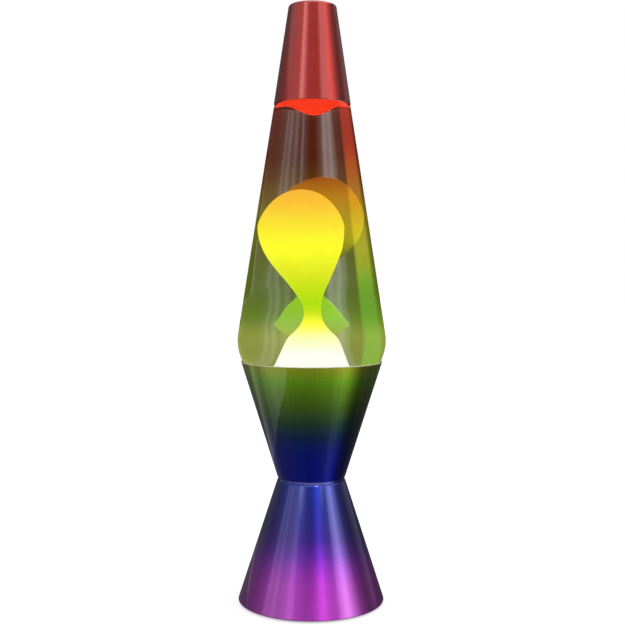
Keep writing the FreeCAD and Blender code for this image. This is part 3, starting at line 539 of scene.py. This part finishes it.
def make_lower_cone(paint):
    low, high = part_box("base_lower_cone")
    foot_z, top_z = low.z / MM, high.z / MM
    slope = (LOWER_FOOT_R - LOWER_TOP_R) / (top_z - foot_z)
    wall = SHEET / math.cos(math.atan(slope))
    hem_r, hem_z = LOWER_FOOT_R - HEM, foot_z + HEM

    def outer_r(z):
        return LOWER_TOP_R + (top_z - z) * slope

    outline = [
        (CENTRE_HOLE_R, top_z), (LOWER_TOP_R, top_z, 0.75), (outer_r(hem_z + 1.0), hem_z + 1.0),
        (outer_r(hem_z + 0.7) - 0.05, hem_z + 0.7), (outer_r(hem_z + 0.4), hem_z + 0.4),
        (LOWER_FOOT_R - 0.02, foot_z, 0.6), (hem_r, foot_z, 0.6), (hem_r, hem_z, 0.2),
        (outer_r(hem_z) - wall, hem_z, 0.3), (LOWER_TOP_R - wall + 0.1, top_z - SHEET, 0.6),
        (CENTRE_HOLE_R, top_z - SHEET),
    ]
    dense = with_holding(fillet(outline), closed=True)
    inside = first_point(dense, lambda r, z: z < foot_z + 0.1 and r < hem_r + 0.9)
    lower = lathe("lower_cone_shell", dense, inner_from=inside)
    lower.data.materials.append(paint)
    lower.data.materials.append(bpy.data.materials["bare_spun_aluminium"])
    cut_cord_inlet(lower, math.atan(slope), outer_r(INLET_Z))
    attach(lower, "base")
    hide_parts("base_lower_cone")


def cut_cord_inlet(shell, lean, wall_r):
    """Round hole for the bushing through the rear wall, square to the wall."""
    bpy.ops.mesh.primitive_cylinder_add(vertices=64, radius=INLET_R * MM, depth=12.0 * MM)
    cutter = bpy.context.active_object
    cutter.rotation_euler = (lean - math.pi / 2, 0.0, 0.0)
    cutter.location = (0.0, wall_r * MM, INLET_Z * MM)
    hole = shell.modifiers.new("inlet", "BOOLEAN")
    hole.operation = "DIFFERENCE"
    hole.solver = "EXACT"
    hole.object = cutter
    graph = bpy.context.evaluated_depsgraph_get()
    mesh = bpy.data.meshes.new_from_object(shell.evaluated_get(graph))
    shell.modifiers.clear()
    shell.data = mesh
    bpy.data.objects.remove(cutter)


def make_waist_ring(paint):
    low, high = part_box("waist_ring")
    foot_z, top_z, ring_r = low.z / MM, high.z / MM, high.x / MM
    outline = [(CENTRE_HOLE_R, foot_z), (ring_r, foot_z, 0.2), (ring_r, top_z, 0.2),
               (CENTRE_HOLE_R, top_z)]
    ring = lathe("waist_band", with_holding(fillet(outline), closed=True))
    ring.data.materials.append(paint)
    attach(ring, "base")
    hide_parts("waist_ring")


# ---- globe --------------------------------------------------------------------------------
SHOULDER_R, SHOULDER_Z, SHOULDER_ROLL = 46.0, 162.9, 28.0
GLASS_WALL, GLASS_FLOOR, GLASS_FOOT_Z = 2.6, 3.4, 128.0
GLASS_TOP_Z = 308.0             # corner where the wall turns in to the neck
LEAN, TAPER = math.radians(8.98), math.radians(24.0)    # of the wall and of the foot
NECK_R, NECK_FOOT_Z, NECK_TOP_Z = 12.4, 315.5, 330.0
BEAD_R, BEAD_Z = 13.2, 326.2    # ring that the crown closure grips
NECK_BORE_R, FILL_Z = 8.4, 322.0


def globe_corners(inset, floor_z, top_z=GLASS_TOP_Z):
    """Foot, shoulder and upper corner (r, z, fillet) of the globe, moved inward by inset."""
    roll = SHOULDER_ROLL - inset
    reach = roll / math.cos((LEAN + TAPER) / 2)
    middle = (LEAN - TAPER) / 2
    corner_r = SHOULDER_R - SHOULDER_ROLL + reach * math.cos(middle)
    corner_z = SHOULDER_Z + reach * math.sin(middle)
    floor_r = corner_r - (corner_z - floor_z) * math.tan(TAPER)
    top_z -= inset
    top_r = corner_r - (top_z - corner_z) * math.tan(LEAN)
    return ((floor_r, floor_z, max(5.0 - inset, 1.0)), (corner_r, corner_z, roll),
            (top_r, top_z, max(7.0 - inset, 1.0)))


def make_globe():
    punt_z = GLASS_FOOT_Z + 1.2     # the foot is hollowed a little
    outline = [
        (0.0, punt_z), (11.0, punt_z, 20.0), (22.0, GLASS_FOOT_Z, 2.6),
        *globe_corners(0.0, GLASS_FOOT_Z), (NECK_R, NECK_FOOT_Z, 3.5), (NECK_R, BEAD_Z - 0.8),
        (BEAD_R, BEAD_Z), (BEAD_R, NECK_TOP_Z, 1.3), (0.0, NECK_TOP_Z),
    ]
    dense = with_holding(fillet(outline, GLASS_BOW_STEPS), closed=False)
    shell = lathe("globe_shell", dense, closed=False)
    shell.data.materials.append(globe_body("globe_glass", 1.5, GLASS_TINT, IMAGE_TINT, 0.003, 0.45))
    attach(shell, "globe")
    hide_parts("globe_glass")

    floor_z = GLASS_FOOT_Z + GLASS_FLOOR
    cavity = [
        (0.0, floor_z), *globe_corners(GLASS_WALL, floor_z),
        (NECK_BORE_R, NECK_FOOT_Z - GLASS_WALL, 3.5), (NECK_BORE_R, FILL_Z), (0.0, FILL_Z),
    ]
    dense = with_holding(fillet(cavity, GLASS_BOW_STEPS), closed=False)
    liquid = lathe("liquid_body", dense, closed=False)
    # liquid inside glass, so its index is relative to the glass
    liquid.data.materials.append(globe_body("tinted_liquid", 0.9, CLEAR, CLEAR, 0.0, 0.055, GLOW))
    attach(liquid, "globe")
    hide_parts("globe_liquid")


# ---- wax ----------------------------------------------------------------------------------
WAX_FILM = 0.15                 # liquid between the wax and the glass
POOL_TOP_Z = 138.6
POOL_DIM_R = (25.5, 31.0)       # painted shade of the pool's rim: full glow inside the first radius, least at the second
HEAD_BACK = 4.3                 # the head leans this far toward the rear
LEAN_FOOT_Z, LEAN_RUN = 186.0, 30.0     # where that lean starts, and over what height it grows
LENS_Z, LENS_CLEAR_Z, LENS_TOP_Z = 308.0, 311.0, 311.5
DROP_R, DROP, DROP_SHIFT, DROP_STEPS = 17.0, 8.5, 0.9, 14    # bulge that hangs from the lens
# height, radius and sideways shift of the wax
WAX_RINGS = [
    (138.6, 31.5, 0.1), (142.0, 27.0, 0.1), (146.0, 23.0, 0.1), (149.0, 19.8, 0.1),
    (152.0, 17.8, 0.0), (155.0, 16.2, 0.1), (157.0, 15.0, 0.3), (160.0, 13.5, 0.4),
    (162.5, 12.1, 0.5), (165.0, 10.1, 0.5), (167.5, 8.0, 0.5), (170.0, 6.4, 0.5),
    (172.5, 5.1, 0.5), (175.0, 4.3, 0.5), (177.5, 4.0, 0.4), (180.0, 3.9, 0.3), (183.0, 4.1, 0.1),
    (186.0, 4.9, -0.3), (189.0, 6.0, -0.7), (192.0, 7.2, -1.2), (195.0, 8.6, -1.6),
    (198.0, 9.9, -1.9), (201.0, 11.4, -2.5), (204.0, 12.8, -2.9), (207.0, 14.1, -3.4),
    (210.0, 15.3, -3.7), (213.0, 16.3, -4.0), (216.0, 17.2, -4.1), (219.0, 17.9, -4.3),
    (222.0, 18.4, -4.5), (225.0, 18.7, -4.6), (228.0, 18.9, -4.7), (230.7, 19.0, -4.7),
    (233.2, 18.7, -4.7), (235.6, 18.1, -4.7), (238.1, 17.3, -4.7), (240.9, 16.2, -4.7),
    (243.8, 14.8, -4.7), (246.8, 12.9, -4.7), (249.3, 10.8, -4.7), (251.3, 8.6, -4.7),
    (252.8, 6.2, -4.7), (253.8, 3.7, -4.7), (254.3, 0.0, -4.7),
]


def make_wax_column():
    """The rising wax with its pool on the globe's floor."""
    floor_z = GLASS_FOOT_Z + GLASS_FLOOR + WAX_FILM
    floor = globe_corners(GLASS_WALL + WAX_FILM, floor_z)[0]
    wall_r = floor[0] + (POOL_TOP_Z - floor_z) * math.tan(TAPER)
    shifts = {round(z, 1): shift for z, _, shift in WAX_RINGS}

    def centre(z):
        back = HEAD_BACK * max(0.0, min(1.0, (z - LEAN_FOOT_Z) / LEAN_RUN))
        return shifts.get(round(z, 1), 0.0), back

    pool = fillet([(0.0, floor_z), floor, (wall_r, POOL_TOP_Z)])[:-1]
    pool += [(wall_r - 0.4, POOL_TOP_Z - 0.4), (wall_r - 2.0, POOL_TOP_Z - 0.1)]
    outline = pool + [(r, z) for z, r, _ in WAX_RINGS]
    wax = lathe("wax_body", outline, closed=False, centre=centre)
    soften(wax)
    wax.data.materials.append(glowing_wax("lit_wax", WAX_GLOW, dim_r=POOL_DIM_R))
    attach(wax, "globe")
    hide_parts("wax_column")


def make_wax_lens():
    """The wax gathered under the globe's upper shoulder, with a bulge hanging from it."""
    corner = globe_corners(GLASS_WALL + WAX_FILM, GLASS_FOOT_Z)[1]

    def wall(z):
        return corner[0] - (z - corner[1]) * math.tan(LEAN)

    def centre(z):
        return DROP_SHIFT * max(0.0, min(1.0, (LENS_Z - z) / DROP)), 0.0

    shares = [k / DROP_STEPS for k in range(DROP_STEPS + 1)]
    outline = [(DROP_R * share, LENS_Z - DROP * (0.5 + 0.5 * math.cos(math.pi * share)))
               for share in shares]
    outline += [
        (wall(LENS_Z) - 0.9, LENS_Z), (wall(LENS_Z + 0.4), LENS_Z + 0.45),
        (wall(LENS_CLEAR_Z), LENS_CLEAR_Z), (wall(LENS_TOP_Z) - 0.8, LENS_TOP_Z), (0.0, LENS_TOP_Z),
    ]
    lens = lathe("wax_pool_top", outline, closed=False, centre=centre)
    soften(lens)
    lens.data.materials.append(glowing_wax("lit_wax_red", LENS_GLOW))
    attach(lens, "globe")
    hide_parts("wax_lens")


def soften(piece):
    """Rounds a wax piece, and keeps its light off the floor and the base."""
    smooth = piece.modifiers.new("soften", "SUBSURF")
    smooth.levels = smooth.render_levels = 1
    piece.visible_diffuse = False


# ---- materials of the CAD pieces that stay ------------------------------------------------
def finish_cad_nodes():
    phenolic = moulded("black_phenolic", (0.018, 0.016, 0.015), 0.38)
    brass = metal("brass", (0.86, 0.62, 0.28), 0.3)
    glass_clear = clear_glass("bulb_glass", 1.02, 0.05)
    zinc = metal("zinc_plate", (0.72, 0.74, 0.78), 0.33)
    steel = metal("steel_wire", (0.62, 0.60, 0.57), 0.3)
    finishes = {
        "crown_cap": metal("tinplate", (0.80, 0.81, 0.83), 0.24),
        "crown_liner": moulded("liner", (0.55, 0.57, 0.55), 0.5),
        "coil_spring": steel,
        "lampholder_housing": phenolic, "lampholder_ring_nut": phenolic,
        "socket_thread_shell": brass, "socket_tongue": brass, "terminal_plates": brass,
        "lampholder_rivets": brass, "terminal_screws": zinc, "base_plate_screws": zinc,
        "base_plate": metal("galvanised_plate", (0.52, 0.54, 0.56), 0.42, blotch=140.0),
        "base_plate_tabs": zinc,
        "rubber_feet": moulded("rubber", (0.022, 0.021, 0.021), 0.75, depth=0.00008),
        "rating_label": moulded("blank_label", (0.78, 0.78, 0.74), 0.6),
        "cord_bushing": moulded("nylon", (0.02, 0.02, 0.022), 0.42),
        "bulb_envelope": glass_clear, "bulb_stem": glass_clear,
        "bulb_screw_shell": metal("nickel_shell", (0.74, 0.72, 0.68), 0.28),
        "bulb_cement": moulded("basing_cement", (0.72, 0.68, 0.58), 0.85),
        "bulb_insulator": moulded("black_glass", (0.012, 0.012, 0.016), 0.12),
        "bulb_tip_contact": metal("solder", (0.66, 0.66, 0.67), 0.4),
        "bulb_lead_wires": metal("nickel_wire", (0.66, 0.63, 0.58), 0.35),
        "bulb_filament": glowing_wax("hot_filament", FILAMENT_GLOW, strength=9.0),
    }
    for name, mat in finishes.items():
        mesh = nodes[name].data
        mesh.materials.clear()
        mesh.materials.append(mat)


# ---- stage, lights and camera -------------------------------------------------------------
# The metal and the glass mirror the world, so its brightness is given by azimuth in degrees,
# zero at the camera's side and positive to its right, in bands by height.
HIGH_RING = [
    (-180, 0.4), (-140, 0.4), (-110, 0.28), (-70, 0.55), (-30, 0.9), (0, 1.0), (40, 0.8),
    (70, 0.95), (95, 1.30), (120, 1.2), (140, 0.5), (180, 0.4),
]
CAP_RING = [
    (-180, 0.08), (-140, 0.10), (-120, 0.24), (-89, 0.42), (-80, 0.28), (-60, 0.31), (-52, 0.26),
    (-45, 0.38), (-41, 0.50), (-39, 1.10), (-32, 1.15), (-27, 0.80), (-23, 0.46), (-18, 0.22),
    (-14, 0.13), (0, 0.09), (14, 0.09), (24, 0.15), (29, 0.5), (33, 0.72), (47, 0.64), (55, 0.5),
    (68, 0.35), (80, 0.16), (106, 0.10), (128, 0.14), (150, 0.12), (180, 0.08),
]
SKIRT_RING = [
    (-180, 0.06), (-140, 0.10), (-120, 0.12), (-106, 0.10), (-89, 0.16), (-84, 0.14), (-76, 0.52),
    (-70, 0.36), (-63, 0.56), (-56, 0.38), (-48, 0.42), (-42, 0.46), (-37, 0.56), (-31, 0.46),
    (-28, 0.24), (-11, 0.12), (0, 0.07), (14, 0.08), (20, 0.14), (38, 0.18), (45, 0.26),
    (49, 0.85), (54, 1.10), (58, 1.45), (64, 1.4), (69, 0.85), (78, 0.45), (86, 0.14),
    (106, 0.08), (128, 0.20), (150, 0.14), (180, 0.06),
]
HORIZON_RING = [
    (-180, 0.08), (-128, 0.08), (-90, 0.22), (-60, 0.37), (-35, 0.52), (0, 0.74), (23, 0.88),
    (40, 0.8), (58, 1.1), (66, 0.9), (78, 0.4), (92, 0.08), (128, 0.03), (180, 0.05),
]
LOWER_RING = [
    (-180, 0.06), (-128, 0.06), (-100, 0.05), (-60, 0.04), (-20, 0.02), (10, 0.02), (30, 0.03),
    (44, 0.05), (54, 0.10), (62, 0.10), (74, 0.05), (90, 0.02), (140, 0.02), (180, 0.05),
]
NADIR_RING = [(-180, 0.2), (180, 0.2)]
# lower end of each band as the sine of its elevation, above the nadir band
GLOSS_BANDS = [(-0.88, LOWER_RING), (-0.45, HORIZON_RING), (-0.03, SKIRT_RING), (0.375, CAP_RING),
               (0.62, HIGH_RING)]
BAND_BLEND = 0.015              # half the width of the blend between bands
# upright reflections in the globe, one ramp for each half because a ramp holds 32 stops
SHEEN_RIGHT = [
    (-180, 0.0), (-60, 0.1), (-41, 0.2), (-35, 0.3), (-33.8, 0.5), (-32.4, 1.2), (-30.5, 1.6),
    (-28.4, 2.2), (-26.5, 3.2), (-25.2, 3.0), (-23.5, 2.2), (-21.5, 2.3), (-20, 2.5),
    (-18.6, 3.3), (-17.4, 3.1), (-16.2, 2.3), (-15, 1.7), (-13.6, 0.9), (-11.5, 0.6), (-8, 0.3),
    (-4, 0.0), (180, 0.0),
]
SHEEN_LEFT = [
    (-180, 0.0), (3, 0.0), (6, 0.1), (8.5, 0.4), (10.5, 0.35), (12.2, 0.6), (13.4, 1.5),
    (15.2, 1.5), (16.2, 0.55), (18, 0.35), (20.5, 0.45), (22, 1.1), (23.5, 1.4), (26, 1.3),
    (27.2, 0.7), (29.4, 0.7), (30.6, 1.3), (32.5, 1.8), (34.6, 1.5), (35.8, 0.8), (37.2, 0.9),
    (38.2, 1.7), (39.4, 1.6), (40.2, 0.8), (44, 0.4), (60, 0.1), (180, 0.0),
]
# seen straight through the globe: the green band near its right edge
WINDOW_RING = [
    (-180, 0.03), (-157.5, 0.05), (-155.5, 1.30), (-137, 1.25), (-130, 0.35), (-120, 0.05),
    (-60, 0.02), (60, 0.02), (160, 0.03), (180, 0.03),
]


def build_world():
    world = bpy.data.worlds.new("studio")
    bpy.context.scene.world = world
    world.use_nodes = True
    g = Graph(world.node_tree)
    surface = g.node("ShaderNodeOutputWorld").inputs["Surface"]
    parts = g.split(g.node("ShaderNodeTexCoord").outputs["Generated"])
    azimuth = g.math("ARCTAN2", parts[0], g.times(parts[1], -1.0))
    share = g.math("ADD", g.math("DIVIDE", azimuth, 2 * math.pi), 0.5)

    def ring(levels):
        return g.ramp(share, [((az + 180.0) / 360.0, level) for az, level in levels])

    gloss = ring(NADIR_RING)
    for foot, levels in GLOSS_BANDS:
        step = g.span(parts[2], foot - BAND_BLEND, foot + BAND_BLEND)
        gloss = g.mix(step, gloss, ring(levels))
    path = g.node("ShaderNodeLightPath").outputs
    # Four surfaces are crossed by a ray that goes straight through the globe or is mirrored at
    # the rear of the liquid, and six by a ray mirrored at the rear of the glass.
    shallow = g.math("LESS_THAN", path["Transmission Depth"], 4.5)
    sheen = g.mix(1.0, ring(SHEEN_RIGHT), ring(SHEEN_LEFT), "ADD")
    window = g.mix(shallow, (0.0, 0.0, 0.0), sheen)
    window = g.mix(1.0, ring(WINDOW_RING), window, "ADD")
    colour = g.mix(path["Is Transmission Ray"], gloss, window)
    colour = g.mix(path["Is Diffuse Ray"], colour, (0.8, 0.8, 0.8))
    colour = g.mix(path["Is Camera Ray"], colour, (1.0, 1.0, 1.0))
    back = g.node("ShaderNodeBackground", {"Color": colour, "Strength": 1.0})
    g.put(surface, back.outputs[0])


def flat_piece(name, corners, height, mat):
    """Level polygon of the studio, in metres."""
    mesh = bpy.data.meshes.new(name)
    mesh.from_pydata([(x, y, 0.0) for x, y in corners], [], [tuple(range(len(corners)))])
    mesh.materials.append(mat)
    piece = bpy.data.objects.new(name, mesh)
    piece.location.z = height
    bpy.context.scene.collection.objects.link(piece)
    return piece


def build_floor():
    mat, g, surface = new_material("pale_floor")
    tone = g.span(g.noise(vector=g.position(), scale=3.0), 0.3, 0.7, 0.80, 0.82)
    shader = g.node("ShaderNodeBsdfPrincipled", {
        "Base Color": g.node("ShaderNodeCombineColor", {0: tone, 1: tone, 2: tone}).outputs[0],
        "Roughness": 0.9, "Specular IOR Level": 0.0,
        "Emission Color": (1.0, 1.0, 1.0), "Emission Strength": 0.52,
    })
    g.put(surface, shader.outputs[0])
    mat.cycles.emission_sampling = "NONE"
    half = 6.0
    corners = [(-half, -half), (half, -half), (half, half), (-half, half)]
    floor = flat_piece("studio_floor", corners, -0.0002, mat)
    floor.visible_glossy = False
    floor.visible_transmission = False


CARD_FRONT, CARD_BACK, CARD_LEFT = -0.215, 0.24, -0.9
CARD_EDGE = [
    (-0.140, CARD_FRONT), (-0.152, -0.171), (-0.154, -0.156), (-0.158, -0.135), (-0.171, -0.108),
    (-0.183, -0.078), (-0.189, -0.049), (-0.193, -0.017), (-0.191, 0.022), (-0.184, 0.074),
    (-0.168, 0.171), (-0.13, CARD_BACK),
]


def build_card():
    """White card lying left of the lamp; its edge is the sharp boundary in the upper cone."""
    mat, g, surface = new_material("white_card")
    y = g.split(g.position())[1]
    level = g.ramp(g.span(y, CARD_FRONT, CARD_BACK), [
        (0.0, 0.34), (0.25, 0.33), (0.36, 0.36), (0.40, 0.24), (0.50, 0.24), (0.60, 0.13),
        (0.72, 0.18), (0.84, 0.30), (1.0, 0.26)])
    light = g.node("ShaderNodeEmission", {"Color": (1.0, 1.0, 1.0), "Strength": level})
    g.put(surface, light.outputs[0])
    mat.cycles.emission_sampling = "NONE"
    corners = CARD_EDGE + [(CARD_LEFT, CARD_BACK), (CARD_LEFT, CARD_FRONT)]
    card = flat_piece("studio_card", corners, 0.0003, mat)
    card.visible_camera = False
    card.visible_diffuse = False
    card.visible_transmission = False
    card.visible_shadow = False


def linked_light(name, target, azimuth, elevation, distance, size, power, receivers):
    """Soft box at a compass direction from target that lights only the named pieces."""
    data = bpy.data.lights.new(name, "AREA")
    data.shape = "RECTANGLE"
    data.size, data.size_y = size
    data.energy = power
    light = bpy.data.objects.new(name, data)
    bpy.context.scene.collection.objects.link(light)
    az, el = math.radians(azimuth), math.radians(elevation)
    way = Vector((math.sin(az) * math.cos(el), -math.cos(az) * math.cos(el), math.sin(el)))
    light.location = Vector(target) + way * distance
    light.rotation_euler = way.to_track_quat("Z", "Y").to_euler()
    lit = bpy.data.collections.new(name + "_receivers")
    for piece in receivers:
        lit.objects.link(bpy.data.objects[piece])
    light.light_linking.receiver_collection = lit
    light.visible_camera = False
    light.visible_transmission = False


def build_lights():
    linked_light("skirt_streak", target=(0.0, 0.0, 0.04), azimuth=26.0, elevation=60.0,
                 distance=1.2, size=(0.14, 0.5), power=3.2, receivers=["lower_cone_shell"])


# fitted to the outline of the lamp in the photograph
CAMERA_AT = (0.0004, -0.650, 0.208)
CAMERA_DIP, CAMERA_ROLL = math.radians(2.46), math.radians(-0.15)
CAMERA_LENS, CAMERA_SENSOR = 60.36, 36.0        # millimetres


def build_camera():
    data = bpy.data.cameras.new("camera")
    data.lens = CAMERA_LENS
    data.sensor_width = CAMERA_SENSOR
    data.clip_start = 0.01
    camera = bpy.data.objects.new("camera", data)
    bpy.context.scene.collection.objects.link(camera)
    camera.location = CAMERA_AT
    camera.rotation_euler = (math.radians(90.0) - CAMERA_DIP, CAMERA_ROLL, 0.0)
    bpy.context.scene.camera = camera


make_cap()
make_base()
make_globe()
make_wax_column()
make_wax_lens()
finish_cad_nodes()
build_world()
build_floor()
build_card()
build_lights()
build_camera()
bpy.context.scene.view_settings.view_transform = "Standard"
bpy.context.scene.view_settings.look = "None"
